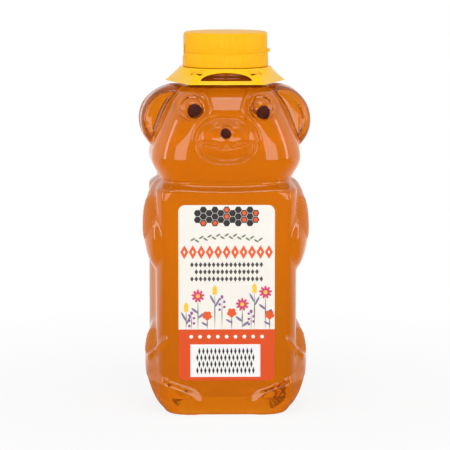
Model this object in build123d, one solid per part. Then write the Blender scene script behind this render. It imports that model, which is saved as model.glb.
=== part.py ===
"""Honey bear bottle: a blown squeeze bottle with a hat brim on its neck and a screwed flip-top cap."""
from build123d import *
import math
import os

os.makedirs("parts", exist_ok=True)

# All lengths are millimetres. X is the width, -Y is the bear's front and +Z is up.

# Walls and clearances
wall = 1.0
crease_wall_times = 3
part_gap = 0.3
seat_gap = 0.1
overrun = 5.0

# Flat panels on the bear's belly and back
panel_half_width = 28.5
panel_half_depth = 28.0

# Base of the body, and the recess pushed up under it
base_half_width = 26.5
base_half_depth = 25.0
base_corner = 10.0
base_rim = 4.5
base_recess = 1.5
base_recess_slope = 30

# Body widths: the plain trunk stands a little beyond the panels
waist_side = 4.9
waist_half_width = panel_half_width + waist_side
foot_side = 4.1
foot_half_width = panel_half_width + foot_side
crease_half_width = 30.6
back_waist_swell = 2.2
back_crease_swell = 1.4

# Body depths: the rounded form stands beyond the flat panels that are cut on it
belly_beyond = 2.5
body_half_depth = panel_half_depth + belly_beyond
foot_beyond = 1.5
foot_half_depth = panel_half_depth + foot_beyond
shoulder_beyond = 1.2
shoulder_half_depth = panel_half_depth + shoulder_beyond
crease_half_depth = 25.5
crease_corner = 14.0

# Body heights, from the base up
foot_height = 9.5
waist_heights = (28.0, 46.0, 67.0, 90.5)
crease_height = 111.0
shoulder_drop = 4.0

# Arms and thighs, tilted ovals that swell out of the sides with their lower ends forward
arm_centre_x = 31.0
arm_centre_y = -8.0
arm_height = 89.5
arm_half_width = 8.5
arm_half_depth = 15.5
arm_half_length = 23.3
arm_tilt = 27
thigh_centre_x = 29.5
thigh_centre_y = -6.0
thigh_height = 24.0
thigh_half_width = 9.4
thigh_half_depth = 14.0
thigh_half_length = 23.5
thigh_tilt = 32

# Head, with its heights above the crease
head_back_shift = 2.0
cheek_rise = 11.0
cheek_half_width = 35.5
cheek_half_depth = 30.0
cheek_corner = 17.0
brow_rise = 29.0
brow_half_width = 30.6
brow_half_depth = 29.2
brow_corner = 17.0
crown_rise = 40.0
crown_half_width = 24.6
crown_half_depth = 25.2
crown_corner = 16.0
neck_foot_rise = 46.4

# Ears, one disc on each side
ear_radius = 16.8
ear_centre_x = 23.9
ear_below_brow = 0.7
ear_front_y = -9.0
ear_back_y = 13.0
ear_round = 5.0

# Muzzle, nose and eyes
muzzle_above_cheek = 9.5
muzzle_half_width = 13.5
muzzle_half_height = 11.2
muzzle_half_depth = 9.5
muzzle_reach = 3.4
nose_above_muzzle = 4.0
nose_radius = 3.4
nose_proud = 1.0
nose_paint_radius = 2.7
eye_centre_x = 16.0
eye_above_brow = 6.0
eye_radius = 6.4
eye_reach = 0.5
eye_paint_radius = 4.2
paint_thickness = 0.15

# Feet, one round toe on each side of the base
toe_centre_x = 19.6
toe_half_width = 8.8
toe_half_depth = 10.0
toe_half_height = 15.0
toe_reach = 2.2

# Neck with its support ring
neck_radius = 17.3
neck_bore_radius = 15.0
support_ring_rise = 5.3
support_ring_reach = 2.7
support_ring_thickness = 2.2
finish_height = 8.4
neck_split_rise = 0.2

# Honey
fill_rise = 44.5
honey_gap = 0.12

# Hat brim, a five-sided collar trapped under the cap, whose panels hang down and out
brim_sides = 5
brim_ring_thickness = 1.6
brim_ring_beyond_cap = 1.5
brim_corner_reach = 8.6
brim_corner_round = 1.2
brim_wall = 1.3
brim_slot_half_width = 12.5
brim_slot_rise = 3.9
brim_slot_above_edge = 1.7
brim_hole_half_width = 1.4
brim_hole_length = 7.0

# Screw cap with its spout deck
thread_depth = 1.1
skirt_wall = 1.8
skirt_height = 6.9
seam_gap = 0.2
bore_step_drop = 2.2
land_wall = 1.2
deck_thickness = 1.4
spout_base_radius = 6.5
spout_top_radius = 4.2
spout_height = 4.4
orifice_radius = 2.6

# Sealing ring pressed by the cap on the neck's rim
liner_thickness = 0.5
liner_land = 4.8

# Flip lid
lid_wall = 1.0
lid_height = 9.4
lid_roof = 1.5
lid_round = 0.8
plug_clearance = 0.4
plug_depth = 1.4
thumb_scoop_radius = 9.0
thumb_scoop_depth = 0.9
thumb_tab_width = 8.0
thumb_tab_height = 1.3
thumb_tab_reach = 1.1

# Living hinge, in a recess across the seam
hinge_width = 10.0
hinge_thickness = 0.5
hinge_below_seam = 2.0
hinge_above_seam = 3.4
hinge_window_height = 1.6
hinge_window_width = 5.0

# Front label
label_side_margin = 5.7
label_top_margin = 10.0
label_bottom = 17.0
label_corner = 3.2
label_thickness = 0.15

# Places and radii that follow from the sizes above
shoulder_height = crease_height - shoulder_drop
cheek_height = crease_height + cheek_rise
brow_height = crease_height + brow_rise
crown_height = crease_height + crown_rise
neck_foot_height = crease_height + neck_foot_rise
fill_height = crease_height + fill_rise
ear_centre_height = brow_height - ear_below_brow
muzzle_height = cheek_height + muzzle_above_cheek
muzzle_front = cheek_half_depth - head_back_shift + muzzle_reach
nose_height = muzzle_height + nose_above_muzzle
nose_centre_y = nose_radius - muzzle_front - nose_proud
eye_height = brow_height + eye_above_brow
eye_centre_y = eye_radius - (brow_half_depth - head_back_shift + eye_reach)
toe_front = panel_half_depth + toe_reach
support_ring_top = neck_foot_height + support_ring_rise
support_ring_radius = neck_radius + support_ring_reach
neck_top = support_ring_top + finish_height
brim_ring_bottom = support_ring_top + part_gap
brim_ring_top = brim_ring_bottom + brim_ring_thickness
cap_bottom = brim_ring_top + part_gap
seam_height = cap_bottom + skirt_height
crown_bore_radius = neck_radius + part_gap
skirt_bore_radius = neck_radius + thread_depth + part_gap
cap_radius = skirt_bore_radius + skirt_wall
land_radius = crown_bore_radius + land_wall
liner_bottom = neck_top + seat_gap
deck_bottom = liner_bottom + liner_thickness + seat_gap
deck_top = deck_bottom + deck_thickness
spout_top = deck_top + spout_height
lid_bore_radius = land_radius + part_gap
lid_radius = lid_bore_radius + lid_wall
lid_top = seam_height + lid_height
plug_radius = orifice_radius - plug_clearance
hinge_floor = lid_radius - hinge_thickness
brim_ring_radius = cap_radius + brim_ring_beyond_cap
brim_corner_radius = brim_ring_radius + brim_corner_reach
label_width = 2 * (panel_half_width - label_side_margin)
label_height = crease_height - label_top_margin - label_bottom


def panel_corner(half_width, half_depth):
    """Corner radius whose arc meets the flat panel's plane at the panel's edge."""
    across = half_width - panel_half_width
    beyond = half_depth - panel_half_depth
    return across + beyond + math.sqrt(2 * across * beyond)


def body_stations(waist_swell, crease_swell):
    """Rows of height, half width, half depth, corner and wall share, from the base to the crease."""
    waist = waist_half_width + waist_swell
    crease = crease_half_width + crease_swell
    rows = [(foot_height, foot_half_width, foot_half_depth)]
    for height in waist_heights:
        rows.append((height, waist, body_half_depth))
    rows.append((shoulder_height, waist, shoulder_half_depth))
    stations = [(0, base_half_width, base_half_depth, base_corner, 1)]
    for height, half_width, half_depth in rows:
        stations.append((height, half_width, half_depth, panel_corner(half_width, half_depth), 1))
    stations.append((crease_height, crease, crease_half_depth, crease_corner, crease_wall_times))
    return stations


def head_stations():
    """Rows of height, half width, half depth, corner and wall share, from the crease to the neck."""
    neck_foot = neck_radius + wall
    return [
        (crease_height, crease_half_width, crease_half_depth, crease_corner, crease_wall_times),
        (cheek_height, cheek_half_width, cheek_half_depth, cheek_corner, 1),
        (brow_height, brow_half_width, brow_half_depth, brow_corner, 1),
        (crown_height, crown_half_width, crown_half_depth, crown_corner, 1),
        (neck_foot_height, neck_foot, neck_foot, neck_radius, crease_wall_times),
    ]


def station_loft(stations, inset, floor, shift_y):
    """Loft the rounded sections, drawn in by inset times their share; the lowest one stands at floor."""
    sections = []
    for row, (height, half_width, half_depth, corner, share) in enumerate(stations):
        drawn = inset * share
        outline = RectangleRounded(2 * (half_width - drawn), 2 * (half_depth - drawn), corner - drawn)
        level = height
        if row == 0:
            level = height + floor
        sections.append(Pos(0, shift_y, level) * outline)
    return loft(sections)


def half_space(near_y, far_y):
    """Block that keeps the part of the body between two planes across its depth."""
    reach = crease_height + 2 * overrun
    place = (Align.CENTER, Align.MIN, Align.MIN)
    return Pos(0, near_y, -overrun) * Box(4 * cheek_half_width, far_y - near_y, reach, align=place)


def body_form(inset, floor):
    """Plain trunk with its two flat panels; its back is a little fuller at waist and crease."""
    depth = panel_half_depth - inset
    front = station_loft(body_stations(0, 0), inset, floor, 0)
    back = station_loft(body_stations(back_waist_swell, back_crease_swell), inset, floor, 0)
    return (front & half_space(-depth, inset)) + (back & half_space(inset, depth))


def ear_form(side, inset):
    """Thick round-edged disc that stands out of the side of the head."""
    thickness = ear_back_y - ear_front_y - 2 * inset
    disc = Cylinder(ear_radius - inset, thickness)
    disc = fillet(disc.edges().filter_by(GeomType.CIRCLE), ear_round - inset)
    middle = (ear_front_y + ear_back_y) / 2
    return Pos(side * ear_centre_x, middle, ear_centre_height) * Rot(90, 0, 0) * disc


def oval(half_width, half_depth, half_height):
    """Ellipsoid of three half sizes about the origin."""
    return scale(Sphere(1), by=(half_width, half_depth, half_height))


def arm_form(side, inset):
    """Oval swelling of one upper arm, its hand end forward."""
    arm = oval(arm_half_width - inset, arm_half_depth - inset, arm_half_length - inset)
    return Pos(side * arm_centre_x, arm_centre_y, arm_height) * Rot(-arm_tilt, 0, 0) * arm


def thigh_form(side, inset):
    """Oval swelling of one thigh, its knee end forward."""
    thigh = oval(thigh_half_width - inset, thigh_half_depth - inset, thigh_half_length - inset)
    return Pos(side * thigh_centre_x, thigh_centre_y, thigh_height) * Rot(-thigh_tilt, 0, 0) * thigh


def muzzle_form(inset):
    """Oval swelling that carries the mouth and the nose."""
    swell = oval(muzzle_half_width - inset, muzzle_half_depth - inset, muzzle_half_height - inset)
    return Pos(0, muzzle_half_depth - muzzle_front, muzzle_height) * swell


def toe_form(side, inset, floor):
    """Rounded toe at one front corner of the base."""
    toe = oval(toe_half_width - inset, toe_half_depth - inset, toe_half_height - inset)
    reach = 2 * toe_half_height
    keep = Box(reach, 2 * reach, reach, align=(Align.CENTER, Align.CENTER, Align.MIN))
    toe = Pos(side * toe_centre_x, toe_half_depth - toe_front, 0) * toe
    return toe & (Pos(side * toe_centre_x, 0, floor) * keep)


def face_form(inset):
    """Head and muzzle, drawn in by inset."""
    return station_loft(head_stations(), inset, 0, head_back_shift) + muzzle_form(inset)


def bear_form(inset, floor):
    """The bear's shape, drawn in by inset, without its neck."""
    form = body_form(inset, floor) + face_form(inset)
    for side in (-1, 1):
        form += arm_form(side, inset)
        form += thigh_form(side, inset)
        form += ear_form(side, inset)
        form += toe_form(side, inset, floor)
    return form


def nose_ball(radius):
    """Ball that stands a little out of the muzzle's tip."""
    return Pos(0, nose_centre_y, nose_height) * Sphere(radius)


def eye_ball(side, radius):
    """Ball that bulges out of the face as one eye."""
    return Pos(side * eye_centre_x, eye_centre_y, eye_height) * Sphere(radius)


def front_rod(x, y, height, radius):
    """Rod that runs from a ball's centre to the front."""
    rod = Cylinder(radius, panel_half_depth, align=(Align.CENTER, Align.CENTER, Align.MIN))
    return Pos(x, y, height) * Rot(90, 0, 0) * rod


def nose_paint(face):
    """Thin spot of paint on the nose."""
    skin = nose_ball(nose_radius + paint_thickness) - nose_ball(nose_radius)
    return (skin & front_rod(0, nose_centre_y, nose_height, nose_paint_radius)) - face


def eye_paint(side, face):
    """Thin spot of paint on one eye."""
    skin = eye_ball(side, eye_radius + paint_thickness) - eye_ball(side, eye_radius)
    spot = skin & front_rod(side * eye_centre_x, eye_centre_y, eye_height, eye_paint_radius)
    return spot - face


def base_push_up():
    """Shallow recess under the base."""
    width = 2 * (base_half_width - base_rim)
    depth = 2 * (base_half_depth - base_rim)
    outline = RectangleRounded(width, depth, base_corner - base_rim)
    return extrude(outline, amount=base_recess, taper=base_recess_slope)


def upright(radius, bottom, top):
    """Upright cylinder between two heights."""
    up = (Align.CENTER, Align.CENTER, Align.MIN)
    return Pos(0, 0, bottom) * Cylinder(radius, top - bottom, align=up)


def neck_tube():
    """Neck with its support ring."""
    tube = upright(neck_radius, crown_height, neck_top)
    ring_bottom = support_ring_top - support_ring_thickness
    return tube + upright(support_ring_radius, ring_bottom, support_ring_top)


def blown_bottle():
    """Whole blown bottle: the bear's outer form less the same form drawn in by the wall."""
    shell = bear_form(0, 0) + neck_tube() + nose_ball(nose_radius)
    for side in (-1, 1):
        shell += eye_ball(side, eye_radius)
    shell -= bear_form(wall, wall + base_recess)
    shell -= upright(neck_bore_radius, crown_height - wall, neck_top + overrun)
    return shell - base_push_up()


def block_below(height):
    """Block that reaches up to one height, wider than the bottle."""
    reach = 4 * cheek_half_width
    down = (Align.CENTER, Align.CENTER, Align.MAX)
    return Pos(0, 0, height) * Box(reach, reach, height + overrun, align=down)


def honey_fill():
    """Honey up to its fill level."""
    inset = wall + honey_gap
    return bear_form(inset, inset + base_recess) & block_below(fill_height)


def turned(points):
    """Solid of revolution about Z from an outline of (radius, height) points."""
    outline = Polyline(*[(radius, 0, height) for radius, height in points], close=True)
    return revolve(make_face(outline), axis=Axis.Z)


def hinge_recess():
    """Flat-floored recess across the seam where the living hinge lies."""
    height = hinge_below_seam + hinge_above_seam + 2 * part_gap
    block = Box(
        cap_radius + overrun - hinge_floor,
        hinge_width + 2 * part_gap,
        height,
        align=(Align.MAX, Align.CENTER, Align.MIN),
    )
    return Pos(-hinge_floor, 0, seam_height - hinge_below_seam - part_gap) * block


def thumb_scoop():
    """Ball that hollows the cap's side under the lid's thumb tab."""
    x = cap_radius - thumb_scoop_depth + thumb_scoop_radius
    return Pos(x, 0, seam_height) * Sphere(thumb_scoop_radius)


def cap_base():
    """Screw skirt, spout deck and spout in one moulding."""
    step = skirt_bore_radius - crown_bore_radius
    bore_step = neck_top - bore_step_drop
    body = turned([
        (cap_radius, cap_bottom),
        (cap_radius, seam_height - seam_gap),
        (land_radius, seam_height - seam_gap),
        (land_radius, deck_top),
        (spout_base_radius, deck_top),
        (spout_top_radius, spout_top),
        (orifice_radius, spout_top),
        (orifice_radius, deck_bottom),
        (crown_bore_radius, deck_bottom),
        (crown_bore_radius, bore_step),
        (skirt_bore_radius, bore_step - step),
        (skirt_bore_radius, cap_bottom),
    ])
    return body - hinge_recess() - thumb_scoop()


def flip_lid():
    """Lid with its plug pin and thumb tab."""
    ceiling = lid_top - lid_roof
    plug_tip = spout_top - plug_depth
    shell = turned([
        (0, lid_top),
        (lid_radius - lid_round, lid_top),
        (lid_radius, lid_top - lid_round),
        (lid_radius, seam_height),
        (lid_bore_radius, seam_height),
        (lid_bore_radius, ceiling),
        (plug_radius, ceiling),
        (plug_radius, plug_tip),
        (0, plug_tip),
    ])
    tab = Box(
        lid_wall + thumb_tab_reach,
        thumb_tab_width,
        thumb_tab_height,
        align=(Align.MIN, Align.CENTER, Align.MIN),
    )
    return shell - hinge_recess() + Pos(lid_bore_radius, 0, seam_height) * tab


def living_hinge():
    """Thin strap that joins the lid to the cap, with a window across the fold."""
    strap = Box(
        hinge_thickness,
        hinge_width,
        hinge_below_seam + hinge_above_seam,
        align=(Align.MAX, Align.CENTER, Align.MIN),
    )
    strap = Pos(-hinge_floor, 0, seam_height - hinge_below_seam) * strap
    window = Box(4 * hinge_thickness, hinge_window_width, hinge_window_height)
    return strap - Pos(-hinge_floor, 0, seam_height) * window


def cap_liner():
    """Sealing ring between the neck's rim and the spout deck."""
    top = liner_bottom + liner_thickness
    ring = upright(neck_radius, liner_bottom, top)
    return ring - upright(neck_radius - liner_land, liner_bottom, top)


def brim_outline(corner_radius, level):
    """Five-sided outline with a flat side to the front."""
    turn = 180 / brim_sides - 90
    outline = Rot(0, 0, turn) * RegularPolygon(corner_radius, brim_sides, major_radius=True)
    return Pos(0, 0, level) * fillet(outline.vertices(), brim_corner_round)


def brim_body():
    """Neck ring with five thin panels that hang from its edge."""
    inner_corner = brim_corner_radius - brim_wall / math.cos(math.pi / brim_sides)
    outside = loft([
        brim_outline(brim_corner_radius, neck_foot_height),
        Pos(0, 0, brim_ring_top) * Circle(brim_ring_radius),
    ])
    inside = loft([
        brim_outline(inner_corner, neck_foot_height),
        Pos(0, 0, brim_ring_bottom) * Circle(brim_ring_radius - brim_wall),
    ])
    return outside - inside - upright(crown_bore_radius, neck_foot_height, brim_ring_top + overrun)


def brim_arch():
    """Cutter for the arched slot across the front panel."""
    reach = brim_corner_radius
    slot_floor = neck_foot_height + brim_slot_above_edge
    arch = Pos(0, -reach, slot_floor) * oval(brim_slot_half_width, reach, brim_slot_rise)
    above = Box(4 * reach, 4 * reach, 2 * brim_slot_rise, align=(Align.CENTER, Align.CENTER, Align.MIN))
    arch &= Pos(0, 0, slot_floor) * above
    return arch - upright(cap_radius, neck_foot_height, brim_ring_top + overrun)


def brim_corner_hole():
    """Cutter for the slot through the top of one corner."""
    slot = SlotOverall(brim_hole_length, 2 * brim_hole_half_width)
    cutter = extrude(slot, amount=brim_ring_top + overrun - neck_foot_height)
    return Pos(0, -brim_ring_radius - brim_hole_half_width, neck_foot_height) * cutter


def hat_brim():
    """Five-sided brim with an arched slot in its front panel and a hole at each corner."""
    body = brim_body() - brim_arch()
    hole = brim_corner_hole()
    step = 360 / brim_sides
    for side in range(brim_sides):
        body -= Rot(0, 0, (side + 0.5) * step) * hole
    return body


def front_label():
    """Label on the flat belly panel."""
    sheet = extrude(RectangleRounded(label_width, label_height, label_corner), amount=label_thickness)
    return Pos(0, -panel_half_depth, label_bottom + label_height / 2) * Rot(90, 0, 0) * sheet


bottle = blown_bottle()
face = face_form(0)
below_neck = block_below(fill_height + neck_split_rise)

pieces = {
    "bottle_shell": bottle & below_neck,
    "bottle_neck": bottle - below_neck,
    "honey": honey_fill(),
    "cap_base": cap_base(),
    "flip_lid": flip_lid(),
    "living_hinge": living_hinge(),
    "cap_liner": cap_liner(),
    "hat_brim": hat_brim(),
    "front_label": front_label(),
    "nose_paint": nose_paint(face),
    "right_eye_paint": eye_paint(-1, face),
    "left_eye_paint": eye_paint(1, face),
}

for name, piece in pieces.items():
    export_step(piece, f"parts/{name}.step")
    print(name, round(piece.volume, 1), piece.bounding_box())
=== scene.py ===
"""Looks of the honey bear bottle: blown bottle, honey, flip-top cap, hat brim and front label."""
import math

import bmesh
import bpy
import numpy as np
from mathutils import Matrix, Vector


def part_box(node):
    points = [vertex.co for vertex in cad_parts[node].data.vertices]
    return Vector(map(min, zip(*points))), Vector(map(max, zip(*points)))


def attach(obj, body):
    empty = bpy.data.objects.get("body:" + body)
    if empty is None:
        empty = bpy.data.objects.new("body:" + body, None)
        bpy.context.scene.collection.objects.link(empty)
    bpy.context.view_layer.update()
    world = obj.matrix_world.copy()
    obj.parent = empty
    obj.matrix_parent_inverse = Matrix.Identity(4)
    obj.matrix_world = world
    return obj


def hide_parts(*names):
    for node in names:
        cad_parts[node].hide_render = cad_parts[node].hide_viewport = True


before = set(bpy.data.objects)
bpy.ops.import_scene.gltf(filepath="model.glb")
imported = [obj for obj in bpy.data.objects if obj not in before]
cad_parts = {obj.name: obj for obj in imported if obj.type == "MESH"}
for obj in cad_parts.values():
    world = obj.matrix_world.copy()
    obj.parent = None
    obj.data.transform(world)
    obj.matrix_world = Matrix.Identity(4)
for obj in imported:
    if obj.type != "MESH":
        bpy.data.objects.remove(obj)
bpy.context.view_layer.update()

# Sizes are millimetres in the frame's axes until a mesh is made of them
MM = 0.001

# Wall, fill and neck
WALL = 1.0
HONEY_GAP = 0.12
HONEY_INSET = WALL + HONEY_GAP
BASE_RECESS = 1.5
FILL_Z = 155.5
NECK_RADIUS = 17.3
NECK_BORE = 15.0
NECK_START_Z = 150.0
NECK_FOOT_Z = 157.4
NECK_JOIN_Z = 160.0
NECK_TOP_Z = 171.1
NECK_CORNERS = 144

# Neck thread; the rise is the share of its lead that it climbs in a turn
THREAD_START_Z = 164.3
THREAD_LEAD = 4.23
THREAD_RISE = 0.62
THREAD_TURNS = 1.15
THREAD_HALF_WIDTH = 0.62

# Body: panels, lean and swell of the blown back, and the crease under the head
PANEL_HALF_WIDTH = 28.5
PANEL_Y = 28.0
PANEL_END = (108.6, 111.0)
PANEL_RELEASE = 8.0
BACK_LEAN = 1.4
BACK_SWELL = 2.2
CREASE = (107.5, 114.5)
CREASE_DIP = 1.7
CREASE_DIP_HALF_WIDTH = 30.0
HEAD_SHIFT = 2.0

# How softly one form runs into the next
EDGE_BLEND = 1.6
LIMB_BLEND = 1.6
PANEL_BLEND = 0.9
FOOT_EDGE = 3.0
FOOT_BLEND = 2.2
LOWER_SIDE_BLEND = 1.5
NECK_BLEND = 1.2
EAR_BLEND = 1.2
MUZZLE_BLEND = 1.0
NOSE_BLEND = 0.6
BORE_BLEND = 0.6
FILL_BLEND = 0.6
EYE_BLEND = 0.5

# Arms and haunches: middle, radii and forward tilt in degrees; muzzle: middle and radii
ARM = ((31.0, -8.0, 89.5), (8.5, 15.5, 23.3), 27.0)
HAUNCH = ((29.5, -6.0, 24.0), (9.4, 14.0, 23.5), 32.0)
MUZZLE = ((0.0, -21.9, 131.5), (13.5, 9.5, 11.2))

# Feet: the two ends across and up, their radii, and how far the foot stands out
FOOT_OUTLINE = ((20.6, 3.4), (33.5, 9.5), 9.0, 8.0)
FOOT_RAISE = 0.65

# Ears: round discs with a dished front and grooves
EAR_X = 23.9
EAR_Y = 2.0
EAR_Z = 139.3
EAR_RADIUS = 16.8
EAR_HALF_DEPTH = 11.0
EAR_ROUND = 5.0
EAR_DISH = 0.9
EAR_DISH_EDGE = (12.4, 13.8)
EAR_GROOVES_Y = (-2.6, 4.0)
EAR_GROOVE_DEPTH = 0.45
EAR_GROOVE_WIDTH = 0.8

# Balls of eyes and nose: middle and radius
EYE_X = 16.0
EYE_Z = 146.0
EYE_BALL = (EYE_X, -21.3, EYE_Z, 6.4)
NOSE_BALL = (0.0, -29.0, 135.5, 3.4)

# Paint on eyes and nose: how far it stands out and reaches in, and its corners and rings
PAINT_OUT = 0.14
PAINT_IN = 0.05
PAINT_CORNERS = 180
PAINT_RINGS = 12

# Heights, and how far the haunches and feet reach to the side there
LOWER_SIDE = (
    (0.0, 1.0, 4.0, 7.0, 10.0, 13.0, 16.0, 22.0),
    (28.2, 30.4, 32.2, 33.9, 35.4, 36.6, 37.8, 46.0),
)

# Height, half width, half depth and corner radius of the body and head, without arms and thighs
BODY_ROWS = [
    (0.0, 27.8, 27.0, 10.0),
    (9.5, 32.6, 29.5, None),
    (28.0, 33.4, 30.5, None),
    (90.5, 33.4, 30.5, None),
    (107.0, 33.4, 29.2, None),
    (111.0, 30.6, 25.5, 14.0),
]
HEAD_ROWS = [
    (111.0, 30.6, 25.5, 14.0),
    (122.0, 35.5, 30.0, 17.0),
    (140.0, 30.6, 29.2, 17.0),
    (151.0, 24.6, 25.2, 16.0),
    (157.4, 18.3, 18.3, 17.3),
]

# Space and face size that each wall and the honey are meshed in
LOW_CORNER = (-44.0, -36.0, -3.0)
WALL_TOP_CORNER = (44.0, 36.0, 164.0)
HONEY_TOP_CORNER = (44.0, 36.0, 160.0)
OUTER_STEP = 1.2
INNER_STEP = 2.2
HONEY_STEP = 1.3

# Label: its face, orange band and white panel, and how ink lies on it, thicker with each level
LABEL_FACE_Y = -28.15
BAND_FOOT_Z = 17.0
BAND_TOP_Z = 41.6
WHITE_PANEL_X = (-17.2, 16.0)
WHITE_PANEL_Z = (18.7, 34.4)
INK_SINK = 0.01
INK_STAGGER = 0.004
INK_THICKNESS = 0.05
INK_LEVEL = 0.03

# Cap: how the shut lid's rim sits, and the fine ribs with the plain pads between them
LID_RIM_HEIGHT = 0.1
LID_SEAM_DROP = 0.16
GRIP_RIB_COUNT = 110
GRIP_RIB_HALF_WIDTH = 0.3
GRIP_PAD_HALF_WIDTH = 7.0


# Distance fields

def ramp(low, high, value):
    """Smooth step from 0 at low to 1 at high."""
    t = np.clip((value - low) / (high - low), 0.0, 1.0)
    return t * t * (3.0 - 2.0 * t)


def fall(low, high, value):
    """Smooth step from 1 at low to 0 at high."""
    return 1.0 - ramp(low, high, value)


def join(a, b, blend):
    """Union of two distances with a rounded inner corner."""
    h = np.maximum(blend - np.abs(a - b), 0.0) / blend
    return np.minimum(a, b) - h * h * blend * 0.25


def meet(a, b, blend):
    """Common part of two distances with a rounded outer edge."""
    return -join(-a, -b, blend)


def monotone_table(heights, values, step=0.25):
    """Smooth curve through the rows that never overshoots them, as a fine table."""
    gaps = np.diff(heights)
    slopes = np.diff(values) / gaps
    tangents = np.zeros(len(values))
    tangents[0], tangents[-1] = slopes[0], slopes[-1]
    for i in range(1, len(values) - 1):
        before, after = slopes[i - 1], slopes[i]
        if before * after > 0:
            w1 = 2 * gaps[i] + gaps[i - 1]
            w2 = gaps[i] + 2 * gaps[i - 1]
            tangents[i] = (w1 + w2) / (w1 / before + w2 / after)
    fine = np.arange(heights[0], heights[-1] + step / 2, step)
    row = np.clip(np.searchsorted(heights, fine, side="right") - 1, 0, len(gaps) - 1)
    gap = gaps[row]
    t = (fine - heights[row]) / gap
    curve = (
        values[row] * (1 + 2 * t) * (1 - t) ** 2
        + tangents[row] * gap * t * (1 - t) ** 2
        + values[row + 1] * t * t * (3 - 2 * t)
        + tangents[row + 1] * gap * t * t * (t - 1)
    )
    return fine, curve


def corner_radius(half_width, half_depth):
    """Corner whose arc meets the flat panel at the panel's edge."""
    across, beyond = half_width - PANEL_HALF_WIDTH, half_depth - PANEL_Y
    return across + beyond + math.sqrt(2 * across * beyond)


def section_tables():
    """Fine tables of half width, half depth and corner radius from the base to the neck."""
    tables = []
    for column in (1, 2, 3):
        heights, values = [], []
        for rows in (BODY_ROWS, HEAD_ROWS):
            z = np.array([row[0] for row in rows])
            v = np.array([
                row[column] if row[column] is not None else corner_radius(row[1], row[2])
                for row in rows
            ])
            fine, curve = monotone_table(z, v)
            keep = slice(None) if not heights else slice(1, None)
            heights.append(fine[keep])
            values.append(curve[keep])
        tables.append((np.concatenate(heights), np.concatenate(values)))
    return tables


WIDTH_TABLE, DEPTH_TABLE, CORNER_TABLE = section_tables()


def round_cone(u, v, a, b, radius_a, radius_b):
    """Distance in a plane to a tapered capsule from a to b."""
    ab = np.array(b, float) - np.array(a, float)
    t = np.clip(((u - a[0]) * ab[0] + (v - a[1]) * ab[1]) / float(ab @ ab), 0.0, 1.0)
    gap = np.hypot(u - a[0] - t * ab[0], v - a[1] - t * ab[1])
    return gap - (radius_a + (radius_b - radius_a) * t)


def rounded_corner(u, v, radius):
    """Distance in a plane to a rounded corner, from how far a point lies past the corner's centre."""
    outer = np.hypot(np.maximum(u, 0.0), np.maximum(v, 0.0))
    return outer + np.minimum(np.maximum(u, v), 0.0) - radius


def ear_distance(x, y, z):
    """Thick round-edged disc with a dished front and two grooves round its rim."""
    rho = np.hypot(np.abs(x) - EAR_X, z - EAR_Z)
    grooves = sum(np.exp(-(((y - place) / EAR_GROOVE_WIDTH) ** 2)) for place in EAR_GROOVES_Y)
    dish = EAR_DISH * fall(*EAR_DISH_EDGE, rho)
    side = np.where(y < EAR_Y, EAR_Y - y + dish, y - EAR_Y)
    past_rim = rho + EAR_GROOVE_DEPTH * grooves - (EAR_RADIUS - EAR_ROUND)
    return rounded_corner(past_rim, side - (EAR_HALF_DEPTH - EAR_ROUND), EAR_ROUND)


def ball_distance(x, y, z, ball):
    """Distance to a ball given by its middle and radius."""
    return np.sqrt((x - ball[0]) ** 2 + (y - ball[1]) ** 2 + (z - ball[2]) ** 2) - ball[3]


def oval_distance(x, y, z, centre, radii):
    """Distance to an ellipsoid, near enough close to its surface."""
    px, py, pz = x - centre[0], y - centre[1], z - centre[2]
    k0 = np.sqrt((px / radii[0]) ** 2 + (py / radii[1]) ** 2 + (pz / radii[2]) ** 2)
    k1 = np.sqrt((px / radii[0] ** 2) ** 2 + (py / radii[1] ** 2) ** 2 + (pz / radii[2] ** 2) ** 2)
    return k0 * (k0 - 1.0) / np.maximum(k1, 1e-6)


def limb_distance(x, y, z, centre, radii, tilt):
    """Oval swelling on each side, its lower end tilted forward."""
    c, s = math.cos(math.radians(tilt)), math.sin(math.radians(tilt))
    dy, dz = y - centre[1], z - centre[2]
    return oval_distance(np.abs(x) - centre[0], c * dy - s * dz, s * dy + c * dz, (0.0, 0.0, 0.0), radii)


def foot_distance(x, y, z, form):
    """Foot raised from each lower front corner; its upper edge rises outwards to the shin."""
    raised = form - FOOT_RAISE * fall(-20.0, -8.0, y)
    return meet(round_cone(np.abs(x), z, *FOOT_OUTLINE), raised, FOOT_EDGE)


def rounded_section(x, y, z):
    """Distance across to the body's or head's rounded rectangle at each height."""
    corner = np.interp(z, *CORNER_TABLE)
    in_head = ramp(*CREASE, z)
    swell = BACK_SWELL * ramp(-4.0, 9.0, y) * ramp(10.0, 24.0, z) * (1.0 - in_head)
    past_x = np.abs(x) - (np.interp(z, *WIDTH_TABLE) + swell - corner)
    past_y = np.abs(y - HEAD_SHIFT * in_head) - (np.interp(z, *DEPTH_TABLE) - corner)
    return rounded_corner(past_x, past_y, corner)


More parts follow.
